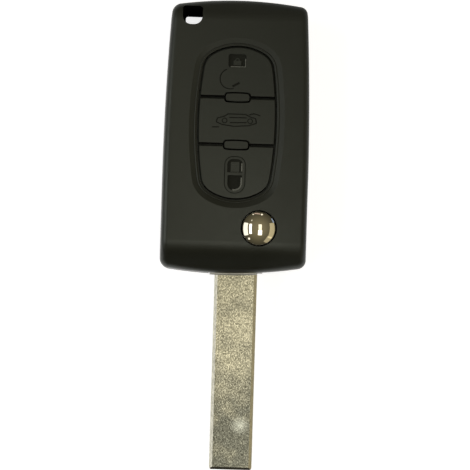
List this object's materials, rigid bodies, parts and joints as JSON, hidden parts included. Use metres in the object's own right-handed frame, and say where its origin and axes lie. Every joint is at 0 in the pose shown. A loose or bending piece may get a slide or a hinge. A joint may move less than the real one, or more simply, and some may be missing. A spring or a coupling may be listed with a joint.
{
  "type": "folding car key fob shell",
  "caption": "Folding car key shell: handheld case with button pad, domed release button and a flat uncut blade that swings out from its end.",
  "frame": {"origin": "centre of the flat back face of the case, which lies on the table", "axes": "+Z from the back face towards the button side, +Y along the case towards the key-ring hole, so that the open blade points to -Y, +X to the right as seen from the button side"},
  "size_m": [0.0328, 0.1048, 0.0163],
  "materials": {
    "case_plastic": "fine matt texture, black",
    "cap_plastic": "smooth matt, black",
    "mat_rubber": "moulded silicone rubber",
    "button_chrome": "polished dome",
    "spring_steel": "drawn spring wire",
    "head_metal": "tumbled die casting",
    "blade_nickel": "satin nickel plating",
    "pin_steel": "plain",
    "contact_nickel": "bright nickel strip"
  },
  "bodies": {
    "case": {"front_cover": "case_plastic", "back_cover": "case_plastic", "button_mat": "mat_rubber", "battery_contact_positive": "contact_nickel", "battery_contact_negative": "contact_nickel"},
    "flip_arm": {"flip_head": "head_metal", "blade": "blade_nickel", "blade_pin": "pin_steel", "release_spring": "spring_steel"},
    "release": {"release_button": "button_chrome"},
    "lock_cap": {"lock_button": "cap_plastic"},
    "boot_cap": {"boot_button": "cap_plastic"},
    "unlock_cap": {"unlock_button": "cap_plastic"}
  },
  "joints": [
    {"name": "blade_fold", "type": "hinge", "parent": "case", "child": "flip_arm", "pos_m": [0.00549, -0.02002, 0.0075], "axis": [0, 0, 1], "range_deg": [0, 180], "stiffness_Nm_per_rad": 0.02, "springref_deg": -11.46},
    {"name": "release_press", "type": "slide", "parent": "flip_arm", "child": "release", "axis": [0, 0, -1], "range_m": [0, 0.0018], "stiffness_N_per_m": 1500, "deforming": ["release_spring"]},
    {"name": "lock_press", "type": "slide", "parent": "case", "child": "lock_cap", "axis": [0, 0, -1], "range_m": [0, 0.0006], "stiffness_N_per_m": 2000},
    {"name": "boot_press", "type": "slide", "parent": "case", "child": "boot_cap", "axis": [0, 0, -1], "range_m": [0, 0.0006], "stiffness_N_per_m": 2000},
    {"name": "unlock_press", "type": "slide", "parent": "case", "child": "unlock_cap", "axis": [0, 0, -1], "range_m": [0, 0.0006], "stiffness_N_per_m": 2000}
  ]
}
